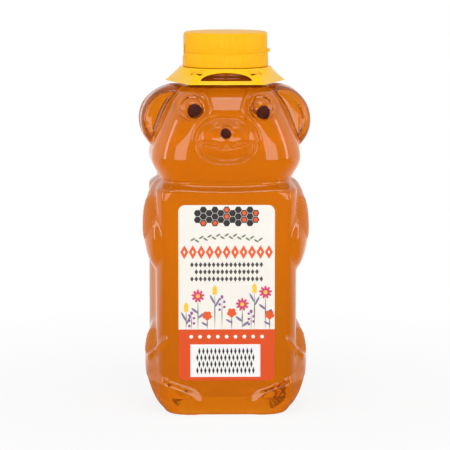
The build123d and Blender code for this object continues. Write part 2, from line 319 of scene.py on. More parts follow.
def bear_distance(x, y, z):
    """Signed distance to the blown bear with its neck, below zero inside."""
    neck = np.maximum(np.hypot(x, y) - NECK_RADIUS, NECK_START_Z - z)
    x = x + BACK_LEAN * ramp(-2.0, 12.0, y) * fall(146.0, 155.0, z)
    dip = CREASE_DIP * np.maximum(1.0 - (x / CREASE_DIP_HALF_WIDTH) ** 2, 0.0) * ramp(4.0, 20.0, -y)
    form = rounded_section(x, y, z + dip * ramp(102.0, 108.5, z) * fall(113.0, 120.0, z))
    for limb in (ARM, HAUNCH):
        form = join(form, limb_distance(x, y, z, *limb), LIMB_BLEND)
    form = meet(form, np.abs(y) - PANEL_Y - PANEL_RELEASE * ramp(*PANEL_END, z), PANEL_BLEND)
    form = meet(form, z - NECK_FOOT_Z, EDGE_BLEND)
    form = join(form, ear_distance(x, y, z), EAR_BLEND)
    form = join(form, oval_distance(x, y, z, *MUZZLE), MUZZLE_BLEND)
    form = join(form, foot_distance(x, y, z, form), FOOT_BLEND)
    form = meet(form, np.abs(x) - np.interp(z, *LOWER_SIDE), LOWER_SIDE_BLEND)
    return join(form, neck, NECK_BLEND)


def outer_distance(x, y, z):
    """The bottle's outside, with eye and nose bumps and the recess under its base."""
    form = join(bear_distance(x, y, z), ball_distance(np.abs(x), y, z, EYE_BALL), EYE_BLEND)
    form = join(form, ball_distance(x, y, z, NOSE_BALL), NOSE_BLEND)
    recess = BASE_RECESS * fall(-3.0, 0.0, rounded_section(x, y, z) + 4.5)
    return meet(form, recess - z, EDGE_BLEND)


def cavity_distance(x, y, z):
    """The bottle's inside, a wall's thickness in, with the neck's bore."""
    form = meet(bear_distance(x, y, z) + WALL, BASE_RECESS + WALL - z, EDGE_BLEND)
    past_bore = np.hypot(x, y) - NECK_BORE
    form = np.where(z > 156.0, np.maximum(form, past_bore), form)
    return join(form, np.maximum(past_bore, NECK_START_Z - z), BORE_BLEND)


def honey_distance(x, y, z):
    """The honey, close to the inside of the wall and level at its top."""
    form = meet(bear_distance(x, y, z) + HONEY_INSET, BASE_RECESS + HONEY_INSET - z, EDGE_BLEND)
    return meet(form, z - FILL_Z, FILL_BLEND)


# Meshes from distance fields

def surface_net(field, low, step):
    """Quads through a grid of distances, one corner in each cell that the surface crosses."""
    size = np.array(field.shape) - 1
    count = np.zeros(size)
    place = np.zeros((*size, 3))
    edges = []
    for axis in range(3):
        first = [slice(None)] * 3
        second = [slice(None)] * 3
        first[axis], second[axis] = slice(None, -1), slice(1, None)
        a, b = field[tuple(first)], field[tuple(second)]
        cross = (a < 0) != (b < 0)
        share = np.where(cross, a / np.where(cross, a - b, 1.0), 0.0)
        u, v = [i for i in range(3) if i != axis]
        edges.append((cross, a < 0, u, v))
        for du in (0, 1):
            for dv in (0, 1):
                part = [slice(None)] * 3
                part[u], part[v] = slice(du, du + size[u]), slice(dv, dv + size[v])
                c = cross[tuple(part)]
                count += c
                place[..., axis] += share[tuple(part)]
                place[..., u] += c * du
                place[..., v] += c * dv
    used = count > 0
    index = np.full(size, -1)
    index[used] = np.arange(used.sum())
    verts = (np.argwhere(used) + place[used] / count[used][:, None]) * step + low
    faces = []
    for axis, (cross, inside, u, v) in enumerate(edges):
        at = np.argwhere(cross)
        ok = (at[:, u] > 0) & (at[:, v] > 0) & (at[:, u] < size[u]) & (at[:, v] < size[v])
        at = at[ok]
        corners = []
        for du, dv in ((-1, -1), (0, -1), (0, 0), (-1, 0)):
            cell = at.copy()
            cell[:, u] += du
            cell[:, v] += dv
            corners.append(index[tuple(cell.T)])
        quad = np.stack(corners, 1)
        turned = inside[tuple(at.T)] if axis != 1 else ~inside[tuple(at.T)]
        quad[~turned] = quad[~turned][:, ::-1]
        faces.append(quad)
    return verts, np.concatenate(faces)


def slope_of(distance, points, reach=0.04):
    """Gradient of a distance field at the points."""
    grads = np.empty_like(points)
    for axis in range(3):
        ahead, behind = points.copy(), points.copy()
        ahead[:, axis] += reach
        behind[:, axis] -= reach
        grads[:, axis] = (distance(*ahead.T) - distance(*behind.T)) / (2 * reach)
    return grads


def settle(distance, points, rounds=3):
    """Moves the points onto the surface along its slope."""
    for _ in range(rounds):
        grads = slope_of(distance, points)
        size = np.maximum((grads**2).sum(1), 0.05)
        move = -(distance(*points.T) / size)[:, None] * grads
        points = points + np.clip(move, -0.6, 0.6)
    return points


def relax(points, faces, share=0.5):
    """Each corner moves towards the middle of its neighbours."""
    total = np.zeros_like(points)
    count = np.zeros(len(points))
    for i in range(4):
        a, b = faces[:, i], faces[:, (i + 1) % 4]
        for p, q in ((a, b), (b, a)):
            for axis in range(3):
                total[:, axis] += np.bincount(p, points[q, axis], len(points))
            count += np.bincount(p, minlength=len(points))
    return points + share * (total / np.maximum(count, 1)[:, None] - points)


def field_mesh(distance, low, high, step):
    """Even quads on the zero surface of a distance field inside a box."""
    axes = [np.arange(low[i], high[i] + step, step) for i in range(3)]
    x, y, z = np.meshgrid(*axes, indexing="ij")
    field = distance(x.ravel(), y.ravel(), z.ravel()).reshape(x.shape)
    points, faces = surface_net(field, np.array(low, float), step)
    points = settle(distance, points, 2)
    for _ in range(3):
        points = settle(distance, relax(points, faces), 1)
    return settle(distance, points, 2), faces


def shade_smooth(mesh):
    mesh.polygons.foreach_set("use_smooth", [True] * len(mesh.polygons))


def mesh_in_millimetres(name, points, faces):
    """Mesh with its corners given in millimetres."""
    mesh = bpy.data.meshes.new(name)
    mesh.from_pydata((np.asarray(points) * MM).tolist(), [], [list(f) for f in faces])
    shade_smooth(mesh)
    mesh.update()
    return mesh


def new_object(name, data):
    """Object in the scene, at the origin."""
    obj = bpy.data.objects.new(name, data)
    bpy.context.scene.collection.objects.link(obj)
    return obj


def piece_of(name, mesh, material):
    """Object that shows the mesh in one material."""
    mesh.name = name
    mesh.materials.append(material)
    return new_object(name, mesh)


def corner_places(bm):
    """The corners of an open mesh as an array."""
    bm.verts.ensure_lookup_table()
    return np.array([v.co for v in bm.verts], float).reshape(-1, 3)


def divide_region(bm, inside):
    """Divides the edges whose two ends are both inside the region."""
    mask = inside(*corner_places(bm).T)
    edges = [e for e in bm.edges if mask[e.verts[0].index] and mask[e.verts[1].index]]
    bmesh.ops.subdivide_edges(bm, edges=edges, cuts=1, use_grid_fill=True)
    bm.verts.index_update()


def place_corners(bm, points):
    """Gives the open mesh's corners new places."""
    for vert, place in zip(bm.verts, points):
        vert.co = place


# Fine relief of the face and limbs

def path_distance(path, u, v):
    """Distance in a plane to a path of points."""
    nearest = np.full(np.shape(u), 1e9)
    for a, b in zip(path[:-1], path[1:]):
        nearest = np.minimum(nearest, round_cone(u, v, a, b, 0.0, 0.0))
    return nearest


def bend(points, steps=6):
    """Smooth path through the points."""
    p = np.array(points, float)
    rows = np.vstack([2 * p[0] - p[1], p, 2 * p[-1] - p[-2]])
    path = []
    for i in range(1, len(rows) - 2):
        for t in np.arange(steps) / steps:
            path.append(0.5 * (
                2 * rows[i]
                + (rows[i + 1] - rows[i - 1]) * t
                + (2 * rows[i - 1] - 5 * rows[i] + 4 * rows[i + 1] - rows[i + 2]) * t * t
                + (3 * rows[i] - 3 * rows[i + 1] + rows[i + 2] - rows[i - 1]) * t**3
            ))
    path.append(rows[-2])
    return [tuple(q) for q in path]


SMILE = bend([(0.0, 120.6), (5.0, 121.2), (9.0, 123.2), (11.7, 125.2), (13.2, 128.0), (12.8, 130.4)])
INNER_SMILE = bend([(0.0, 122.5), (3.6, 122.8), (7.4, 124.2), (10.2, 126.6), (11.2, 128.8)])
UPPER_LIP = bend([(0.0, 131.2), (1.4, 129.0), (2.9, 127.4), (5.2, 128.4), (9.6, 129.4)])
WHISKERS = bend([(3.4, 129.7), (6.2, 130.9), (10.8, 130.9)])
MUZZLE_ARC = bend([(0.0, 142.1), (5.1, 141.7), (9.8, 139.6), (13.2, 136.2), (14.6, 132.4)])
BROW_ARC = bend([(10.2, 153.8), (8.5, 149.8), (7.9, 146.2), (9.6, 141.8)])
SHIN_RIDGE = bend([(29.0, 36.4), (32.6, 31.8), (36.6, 26.6)])


# Sunk lines of the face: path, depth and width
FACE_LINES = (
    (SMILE, 1.0, 0.55),
    (INNER_SMILE, 0.8, 0.5),
    (UPPER_LIP, 0.8, 0.5),
    (WHISKERS, 0.5, 0.45),
    (MUZZLE_ARC, 0.8, 0.9),
)

# Eye sockets, swelling between the lips, and the ribs of arms and haunches
SOCKET_DEPTH = 1.5
LIP_SWELL = 0.35
RIB_HEIGHT = 0.45
RIB_PITCH = 1.9

# Places that need smaller faces: nearest and furthest |x|, then lowest and highest y and z
FACE_BOX = (-1.0, 28.0, -60.0, -14.0, 116.0, 155.5)
MOUTH_BOX = (-1.0, 15.5, -60.0, -20.0, 118.5, 144.0)
BROW_BOX = (6.0, 23.5, -60.0, -20.0, 139.0, 155.0)
ARM_RIBS_BOX = (26.0, 60.0, -25.0, -2.5, 82.0, 105.0)
THIGH_RIBS_BOX = (26.0, 60.0, -18.5, 0.0, 26.0, 40.5)


def hollow(distance, depth, width):
    """Soft furrow along a line, or a ridge where it is taken away."""
    return -depth * np.exp(-((distance / width) ** 2))


def relief_height(x, y, z, facing):
    """Height of the face's and limbs' fine forms above the plain surface."""
    across = np.abs(x)
    socket = np.hypot((across - 17.0) / 8.6, (z - 147.4) / 6.8)
    from_eye = np.hypot(across - EYE_X, z - EYE_Z - 0.6)
    height = -SOCKET_DEPTH * fall(0.72, 1.02, socket) * ramp(4.9, 5.9, from_eye)
    height += hollow(from_eye - 5.5, depth=0.75, width=0.55)
    height -= hollow(path_distance(BROW_ARC, across, z), depth=1.0, width=0.8)
    height += sum(hollow(path_distance(path, across, z), depth, width) for path, depth, width in FACE_LINES)
    between_lips = path_distance(SMILE, across, z) + path_distance(INNER_SMILE, across, z)
    height += LIP_SWELL * fall(1.9, 3.2, between_lips)
    height -= hollow(np.hypot(across / 1.5, z - 126.2), depth=0.7, width=1.3)
    height *= ramp(0.15, 0.45, -facing[:, 1])
    side = ramp(0.2, 0.45, np.abs(facing[:, 0]))
    shin = hollow(path_distance(SHIN_RIDGE, across, z), depth=1.0, width=0.9)
    height -= shin * fall(-14.0, -8.0, y) * side
    return height + rib_height(y, z, side)


def rib_height(y, z, side):
    """Slanted ribs on the upper arms and the thighs."""
    arm = fall(6.0, 8.0, np.hypot((y + 13.0) / 1.3, (z - 93.5) / 1.45))
    thigh = fall(5.0, 6.6, np.hypot((y + 9.0) / 1.5, z - 33.0))
    ribs = np.sin((z * 0.82 + y * 0.57) * (2 * math.pi / RIB_PITCH))
    return RIB_HEIGHT * ribs * np.maximum(arm, thigh) * side


def inside_any(*boxes):
    """Test of whether points lie in one of the boxes, the same on both sides."""
    def test(x, y, z):
        found = np.zeros(len(x), bool)
        for box in boxes:
            inside = np.ones(len(x), bool)
            for place, low, high in zip((np.abs(x), y, z), box[::2], box[1::2]):
                inside &= (place > low) & (place < high)
            found |= inside
        return found
    return test


# Bottle and honey

def ring_angles(count):
    """Even angles round a circle."""
    return np.arange(count) * (2 * math.pi / count)


def turned_rows(rows, count):
    """Rings of corners round Z with quads between them; rows are (radius, height) arrays or numbers."""
    angles = ring_angles(count)
    points, faces = [], []
    for radius, height in rows:
        r = np.broadcast_to(radius, count)
        z = np.broadcast_to(height, count)
        points.append(np.stack([r * np.cos(angles), r * np.sin(angles), z], 1))
    for row in range(len(rows) - 1):
        for i in range(count):
            j = (i + 1) % count
            a, b = row * count, (row + 1) * count
            faces.append((a + i, a + j, b + j, b + i))
    return np.concatenate(points), faces


def neck_rows(count):
    """Neck from its foot up, with its support ring and one thread, over the rim and down the bore."""
    angles = ring_angles(count)
    rows = [
        (NECK_RADIUS, 160.35), (18.9, 160.5), (19.8, 160.7), (20.0, 161.1), (20.0, 162.1),
        (19.8, 162.5), (19.3, 162.7), (NECK_RADIUS + 0.3, 162.75), (NECK_RADIUS, 163.0),
    ]
    for height in np.arange(163.3, 170.35, 0.25):
        radius = np.full(count, NECK_RADIUS)
        for turn in (0, 1):
            along = angles / (2 * math.pi) + turn
            from_middle = height - (THREAD_START_Z + THREAD_LEAD * along * THREAD_RISE)
            ends = ramp(0.0, 0.06, along) * fall(THREAD_TURNS - 0.06, THREAD_TURNS, along)
            ridge = ends * np.exp(-((from_middle / THREAD_HALF_WIDTH) ** 4))
            radius = np.maximum(radius, NECK_RADIUS + ridge)
        rows.append((radius, height))
    rows += [
        (NECK_RADIUS, 170.6), (NECK_RADIUS - 0.15, 170.95), (NECK_RADIUS - 0.5, NECK_TOP_Z),
        (NECK_BORE + 0.5, NECK_TOP_Z), (NECK_BORE + 0.12, 170.9), (NECK_BORE, 170.5),
        (NECK_BORE, 167.0), (NECK_BORE, 163.5), (NECK_BORE, 160.35),
    ]
    return rows


def open_at_neck(points, faces, flip):
    """Open mesh of one wall, cut off level below the neck."""
    bm = bmesh.new()
    for p in points:
        bm.verts.new(p)
    bm.verts.ensure_lookup_table()
    for face in faces:
        corners = [bm.verts[i] for i in (face[::-1] if flip else face)]
        made = bm.faces.new(corners)
        wet = flip and max(v.co.z for v in corners) < FILL_Z
        made.material_index = 1 if wet else 0
    bmesh.ops.bisect_plane(
        bm, geom=bm.verts[:] + bm.edges[:] + bm.faces[:], dist=1e-4,
        plane_co=(0, 0, NECK_JOIN_Z), plane_no=(0, 0, 1), clear_outer=True,
    )
    bm.verts.index_update()
    return bm


def rim_loop(bm, near_radius):
    """Edges of the open rim that lies at one radius round Z."""
    return [
        e for e in bm.edges
        if e.is_boundary and abs(math.hypot(*(e.verts[0].co.xy)) - near_radius) < 0.7
    ]


def bottle_mesh():
    """Outer wall with its relief, inner wall and neck, joined into one closed shell."""
    outer = open_at_neck(*field_mesh(outer_distance, LOW_CORNER, WALL_TOP_CORNER, OUTER_STEP), False)
    divide_region(outer, inside_any(FACE_BOX, ARM_RIBS_BOX, THIGH_RIBS_BOX))
    divide_region(outer, inside_any(MOUTH_BOX, BROW_BOX, ARM_RIBS_BOX, THIGH_RIBS_BOX))
    points = settle(outer_distance, corner_places(outer), 2)
    slope = slope_of(outer_distance, points)
    facing = slope / np.linalg.norm(slope, axis=1)[:, None]
    lift = relief_height(*points.T, facing)
    place_corners(outer, points + facing * lift[:, None])
    inner = open_at_neck(*field_mesh(cavity_distance, LOW_CORNER, WALL_TOP_CORNER, INNER_STEP), True)
    whole = bmesh.new()
    for part in (outer, inner):
        scratch = bpy.data.meshes.new("part")
        part.to_mesh(scratch)
        whole.from_mesh(scratch)
        bpy.data.meshes.remove(scratch)
        part.free()
    neck_points, neck_faces = turned_rows(neck_rows(NECK_CORNERS), NECK_CORNERS)
    verts = [whole.verts.new(p) for p in neck_points]
    for face in neck_faces:
        whole.faces.new([verts[i] for i in face])
    for radius in (NECK_RADIUS, NECK_BORE):
        bmesh.ops.bridge_loops(whole, edges=rim_loop(whole, radius))
    bmesh.ops.scale(whole, vec=(MM, MM, MM), verts=whole.verts)
    mesh = bpy.data.meshes.new("bottle")
    whole.to_mesh(mesh)
    whole.free()
    shade_smooth(mesh)
    return mesh


def honey_mesh():
    points, faces = field_mesh(honey_distance, LOW_CORNER, HONEY_TOP_CORNER, HONEY_STEP)
    return mesh_in_millimetres("honey_fill", points, faces)


def paint_spot_mesh(ball, middle, radii, wave):
    """Thin hand-touched spot of paint on a small ball, with an uneven edge, as one closed skin."""
    cx, cy, cz, radius = ball
    count, rings = PAINT_CORNERS, PAINT_RINGS
    angles = ring_angles(count)
    uneven = 1.0 + 0.03 * np.sin(3 * angles + wave) + 0.03 * np.sin(13 * angles + 2.0 * wave)
    uneven += 0.05 * np.sin(29 * angles + 3.0 * wave)
    points, faces = [], []
    for skin in (radius + PAINT_OUT, radius - PAINT_IN):
        for ring in range(1, rings + 1):
            reach = (ring / rings) * uneven
            u = middle[0] + radii[0] * reach * np.cos(angles)
            v = middle[1] + radii[1] * reach * np.sin(angles)
            thin = 0.1 * (ring == rings) if skin > radius else 0.0
            depth = np.sqrt(np.maximum((skin - thin) ** 2 - u * u - v * v, 0.2))
            points.append(np.stack([cx + u, cy - depth, cz + v], 1))
        top = np.sqrt(skin**2 - middle[0] ** 2 - middle[1] ** 2)
        points.append(np.array([[cx + middle[0], cy - top, cz + middle[1]]]))
    layer = rings * count + 1
    for base, turned in ((0, False), (layer, True)):
        for i in range(count):
            j = (i + 1) % count
            fan = [(base + layer - 1, base + i, base + j)]
            for ring in range(rings - 1):
                a, b = base + ring * count, base + (ring + 1) * count
                fan.append((a + i, b + i, b + j, a + j))
            faces += [f[::-1] for f in fan] if turned else fan
    outer = (rings - 1) * count
    for i in range(count):
        j = (i + 1) % count
        faces.append((outer + i, layer + outer + i, layer + outer + j, outer + j))
    return mesh_in_millimetres("spot", np.concatenate(points), faces)


# Materials

def linear(r, g, b):
    """Linear colour of an 8-bit screen colour."""
    out = []
    for value in (r, g, b):
        c = value / 255.0
        out.append(c / 12.92 if c <= 0.04045 else ((c + 0.055) / 1.055) ** 2.4)
    return (*out, 1.0)


def connect(links, sockets, values):
    """Gives each socket a number or colour, or links it to the output of another node."""
    for socket, value in zip(sockets, values):
        if isinstance(value, (int, float, tuple)):
            socket.default_value = value
        else:
            links.new(value, socket)


def wire(tree, *runs):
    """Links made in order, each given as node, output, node and input."""
    for source, output, target, socket in runs:
        tree.links.new(source.outputs[output], target.inputs[socket])


def set_inputs(node, **values):
    """Sets inputs of a node by their names, with _ for each space."""
    for label, value in values.items():
        node.inputs[label.replace("_", " ")].default_value = value
    return node


def math_step(tree, operation, *values, clamp=False):
    """Output of a new Math node on numbers or outputs."""
    node = tree.nodes.new("ShaderNodeMath")
    node.operation = operation
    node.use_clamp = clamp
    connect(tree.links, node.inputs, values)
    return node.outputs[0]


def axis_of(tree, vector, axis):
    """Output that is one axis of a vector."""
    split = tree.nodes.new("ShaderNodeSeparateXYZ")
    tree.links.new(vector, split.inputs[0])
    return split.outputs[axis]


def node_group(name, kind, inputs, outputs):
    """Empty node group with its sockets, given as names by their kind, and its two end nodes."""
    tree = bpy.data.node_groups.new(name, f"{kind}NodeTree")
    for in_out, sockets in (("INPUT", inputs), ("OUTPUT", outputs)):
        for socket, labels in sockets:
            for label in labels:
                tree.interface.new_socket(label, in_out=in_out, socket_type=f"NodeSocket{socket}")
    return tree, tree.nodes.new("NodeGroupInput"), tree.nodes.new("NodeGroupOutput")


def moulded_grain_group():
    """Fine mottle of moulded plastic: a height, a shade near 1 and a roughness offset near 0."""
    inputs = (("Float", ("Grain", "Cloud", "Shade range", "Gloss range")), ("Vector", ("Vector",)))
    outputs = (("Float", ("Height", "Shade", "Gloss")),)
    tree, given, out = node_group("moulded_grain", "Shader", inputs, outputs)
    noises = {}
    for scale, detail in (("Grain", 3.0), ("Cloud", 4.0)):
        noise = set_inputs(tree.nodes.new("ShaderNodeTexNoise"), Detail=detail)
        wire(tree, (given, "Vector", noise, "Vector"), (given, scale, noise, "Scale"))
        noises[scale] = noise.outputs["Fac"]
    tree.links.new(noises["Grain"], out.inputs["Height"])
    for label, middle in (("Shade", 1.0), ("Gloss", 0.0)):
        centred = math_step(tree, "SUBTRACT", noises["Cloud"], 0.5)
        scaled = math_step(tree, "MULTIPLY_ADD", centred, given.outputs[f"{label} range"], middle)
        tree.links.new(scaled, out.inputs[label])
    return tree


GRAIN = moulded_grain_group()


class Finish:
    """A material in the making: its Principled shader, object coordinates and grain."""

    def __init__(self, name, roughness, mottle, relief):
        """Mottle is grain, cloud, shade and gloss; relief is its strength and its height in millimetres."""
        self.material = bpy.data.materials.new(name)
        self.material.use_nodes = True
        self.tree = self.material.node_tree
        self.nodes, self.links = self.tree.nodes, self.tree.links
        self.shader = self.nodes["Principled BSDF"]
        self.coords = self.nodes.new("ShaderNodeTexCoord").outputs["Object"]
        self.grain = self.nodes.new("ShaderNodeGroup")
        self.grain.node_tree = GRAIN
        connect(self.links, self.grain.inputs, (*mottle, self.coords))
        if mottle[-1] > 0.0:
            roughness = math_step(self.tree, "ADD", self.grain.outputs["Gloss"], roughness)
        connect(self.links, [self.shader.inputs["Roughness"]], [roughness])
        bump = set_inputs(self.nodes.new("ShaderNodeBump"), Strength=relief[0], Distance=relief[1] * MM)
        wire(self.tree, (self.grain, "Height", bump, "Height"), (bump, "Normal", self.shader, "Normal"))

    def mix(self, share, a, b, blend="MIX"):
        node = self.nodes.new("ShaderNodeMix")
        node.data_type = "RGBA"
        node.blend_type = blend
        connect(self.links, (node.inputs["Factor"], node.inputs[6], node.inputs[7]), (share, a, b))
        return node.outputs[2]

    def paint(self, colour, **settings):
        """Material whose base colour is this times the grain's shade, with other settings."""
        shade = self.nodes.new("ShaderNodeCombineColor")
        connect(self.links, shade.inputs, [self.grain.outputs["Shade"]] * 3)
        shaded = self.mix(1.0, colour, shade.outputs[0], "MULTIPLY")
        self.links.new(shaded, self.shader.inputs["Base Color"])
        set_inputs(self.shader, **settings)
        return self.material


def honey_material(name, step):
    """Clear honey that darkens with depth; the step is how much it bends light at its surface."""
    finish = Finish(name, 0.0, (120.0, 25.0, 0.01, 0.0), (0.02, 0.05))
    absorb = finish.nodes.new("ShaderNodeVolumeAbsorption")
    set_inputs(absorb, Color=(0.99, 0.938, 0.30, 1.0), Density=100.0)
    wire(finish.tree, (absorb, "Volume", finish.nodes["Material Output"], "Volume"))
    return finish.paint((1.0, 0.995, 0.98, 1.0), Transmission_Weight=1.0, IOR=step)


def cap_material(name, colour, roughness):
    return Finish(name, roughness, (1400.0, 90.0, 0.05, 0.08), (0.12, 0.02)).paint(
        colour, Specular_IOR_Level=0.2, Subsurface_Weight=0.12, Subsurface_Scale=0.002
    )


def band_mask(finish, axis, low, high):
    """1 between two places along an axis of the object, in millimetres."""
    place = axis_of(finish.tree, finish.coords, axis)
    above = math_step(finish.tree, "GREATER_THAN", place, low * MM)
    below = math_step(finish.tree, "LESS_THAN", place, high * MM)
    return math_step(finish.tree, "MULTIPLY", above, below)


def label_material():
    """Cream film with an orange foot band and a white panel on it."""
    finish = Finish("label_film", 0.32, (1800.0, 40.0, 0.03, 0.05), (0.06, 0.01))
    band = band_mask(finish, "Z", BAND_FOOT_Z, BAND_TOP_Z)
    upright = band_mask(finish, "Z", *WHITE_PANEL_Z)
    across = band_mask(finish, "X", *WHITE_PANEL_X)
    panel = math_step(finish.tree, "MULTIPLY", upright, across)
    film = finish.mix(band, linear(*CREAM), linear(228, 78, 12))
    return finish.paint(
        finish.mix(panel, film, linear(250, 250, 248)), Coat_Weight=0.25, Coat_Roughness=0.15,
        Subsurface_Weight=0.3, Subsurface_Scale=0.0006, Subsurface_Radius=(1.0, 0.95, 0.9),
    )


def ink_material(name, colour):
    return Finish(f"{name}_ink", 0.35, (1500.0, 300.0, 0.2, 0.06), (0.1, 0.01)).paint(colour)


CREAM = (246, 242, 231)
BOTTLE_PLASTIC = Finish("bottle_plastic", 0.035, (260.0, 30.0, 0.02, 0.04), (0.06, 0.05)).paint(
    (0.80, 0.25, 0.015, 1.0), Transmission_Weight=0.8, IOR=1.5
)
# Inside of the wall where honey wets it: the two bend light alike, so nothing shows of the step
WETTED_PLASTIC = Finish("wetted_plastic", 0.0, (200.0, 30.0, 0.02, 0.0), (0.02, 0.02)).paint(
    (1.0, 0.995, 0.985, 1.0), Transmission_Weight=1.0, IOR=1.0, Alpha=0.0
)
HONEY = honey_material("clear_honey", 1.0)
HONEY_TOP = honey_material("honey_top", 1.49)
CAP_PLASTIC = cap_material("cap_plastic", linear(255, 185, 0), 0.4)
BRIM_PLASTIC = cap_material("brim_plastic", linear(255, 196, 3), 0.3)
LINER_FOAM = Finish("liner_foam", 0.75, (2600.0, 200.0, 0.12, 0.1), (0.5, 0.06)).paint(
    linear(236, 234, 226)
)
EYE_PAINT = Finish("eye_paint", 0.6, (1100.0, 760.0, 1.8, 0.3), (1.0, 0.3)).paint(
    linear(74, 26, 16), Specular_IOR_Level=0.15
)
LABEL_FILM = label_material()


# Prints on the label

def apply_modifiers(obj):
    """Puts what the object's modifiers make in the place of its mesh."""
    graph = bpy.context.evaluated_depsgraph_get()
    mesh = bpy.data.meshes.new_from_object(obj.evaluated_get(graph))
    obj.modifiers.clear()
    obj.data = mesh
    mesh.name = obj.name


def repeated_piece(tree, name, mesh, values):
    """Piece of one plain mesh that the tree makes from a mesh and its inputs, set by their identifiers."""
    obj = new_object(name, mesh)
    modifier = obj.modifiers.new(tree.name, "NODES")
    modifier.node_group = tree
    sockets = {item.name: item.identifier for item in tree.interface.items_tree if item.in_out == "INPUT"}
    for label, value in values.items():
        modifier[sockets[label]] = value
    apply_modifiers(obj)
    return obj


def printed_spots_tree():
    """A raised many-sided spot of ink at every point, stretched and turned as the point says."""
    inputs = (
        ("Geometry", ("Points",)), ("Int", ("Sides",)), ("Float", ("Thickness",)), ("Material", ("Ink",)),
    )
    tree, given, out = node_group("printed_spots", "Geometry", inputs, (("Geometry", ("Spots",)),))
    nodes = tree.nodes
    spot = set_inputs(nodes.new("GeometryNodeMeshCircle"), Radius=1.0)
    spot.fill_type = "NGON"
    place = nodes.new("GeometryNodeInstanceOnPoints")
    turn = nodes.new("FunctionNodeEulerToRotation")
    for attribute, target in (("spot_size", place.inputs["Scale"]), ("spot_turn", turn.inputs[0])):
        read = set_inputs(nodes.new("GeometryNodeInputNamedAttribute"), Name=attribute)
        read.data_type = "FLOAT_VECTOR"
        tree.links.new(read.outputs["Attribute"], target)
    real = nodes.new("GeometryNodeRealizeInstances")
    raised = set_inputs(nodes.new("GeometryNodeExtrudeMesh"), Individual=False)
    under = nodes.new("GeometryNodeFlipFaces")
    both = nodes.new("GeometryNodeJoinGeometry")
    weld = set_inputs(nodes.new("GeometryNodeMergeByDistance"), Distance=1e-6)
    inked = nodes.new("GeometryNodeSetMaterial")
    wire(
        tree,
        (given, "Sides", spot, "Vertices"),
        (given, "Points", place, "Points"),
        (spot, "Mesh", place, "Instance"),
        (turn, 0, place, "Rotation"),
        (place, "Instances", real, "Geometry"),
        (real, "Geometry", raised, "Mesh"),
        (given, "Thickness", raised, "Offset Scale"),
        (real, "Geometry", under, "Mesh"),
        (raised, "Mesh", both, "Geometry"),
        (under, "Mesh", both, "Geometry"),
        (both, "Geometry", weld, "Geometry"),
        (weld, "Geometry", inked, "Geometry"),
        (given, "Ink", inked, "Material"),
        (inked, "Geometry", out, "Spots"),
    )
    return tree


def print_spots(tree, name, ink, sides, level, spots):
    """One ink's spots on the label; each is (x, z, half width, half height, lean in degrees)."""
    mesh = bpy.data.meshes.new(name)
    steps = [LABEL_FACE_Y + INK_SINK - INK_STAGGER * (i % 5) for i in range(len(spots))]
    mesh.from_pydata([(s[0] * MM, y * MM, s[1] * MM) for s, y in zip(spots, steps)], [], [])
    sizes = [v for s in spots for v in (s[2] * MM, s[3] * MM, 1.0)]
    turns = [v for s in spots for v in (math.pi / 2, math.radians(s[4]), 0.0)]
    for attribute, numbers in (("spot_size", sizes), ("spot_turn", turns)):
        mesh.attributes.new(attribute, "FLOAT_VECTOR", "POINT").data.foreach_set("vector", numbers)
    thickness = (INK_THICKNESS + INK_LEVEL * level) * MM
    values = {"Sides": sides, "Thickness": thickness, "Ink": ink}
    seat(repeated_piece(tree, name, mesh, values), "bottle", "label")


def petals(x, z, count, reach, half_width, half_length, start=0.0):
    """Petals round a flower's middle."""
    spots = []
    for lean in np.arange(count) * (360.0 / count) + start:
        out = math.radians(lean)
        spots.append((x + reach * math.sin(out), z + reach * math.cos(out), half_width, half_length, lean))
    return spots


def honeycomb(columns, rows, cell, pitch, middle_z):
    """Cells in staggered columns."""
    spots = []
    for column in range(-columns, columns + 1):
        drop = pitch * 0.5 if column % 2 else 0.0
        for row in range(rows if column % 2 == 0 else rows - 1):
            z = middle_z + pitch * ((rows - 1) / 2 - row) - drop
            spots.append((column * pitch * 0.87, z, cell, cell, 0.0))
    return spots


def stalk(x, top, lean=0.0, half_width=0.24):
    """Slender stalk that tapers to both ends, from the band up to a flower."""
    half = (top - BAND_TOP_Z) / 2
    return (x - half * math.sin(math.radians(lean)), BAND_TOP_Z + half, half_width, half + 0.4, lean)


DAISIES = ((-13.6, 57.6), (7.4, 53.6), (18.4, 59.4))
BELLS = ((-19.2, 52.4), (-5.6, 60.6), (13.2, 61.4))
POPPIES = ((-9.2, 48.2), (2.4, 49.6), (20.4, 48.6))
BERRIES = ((-16.6, 46.4), (-2.2, 54.2), (11.6, 47.2))


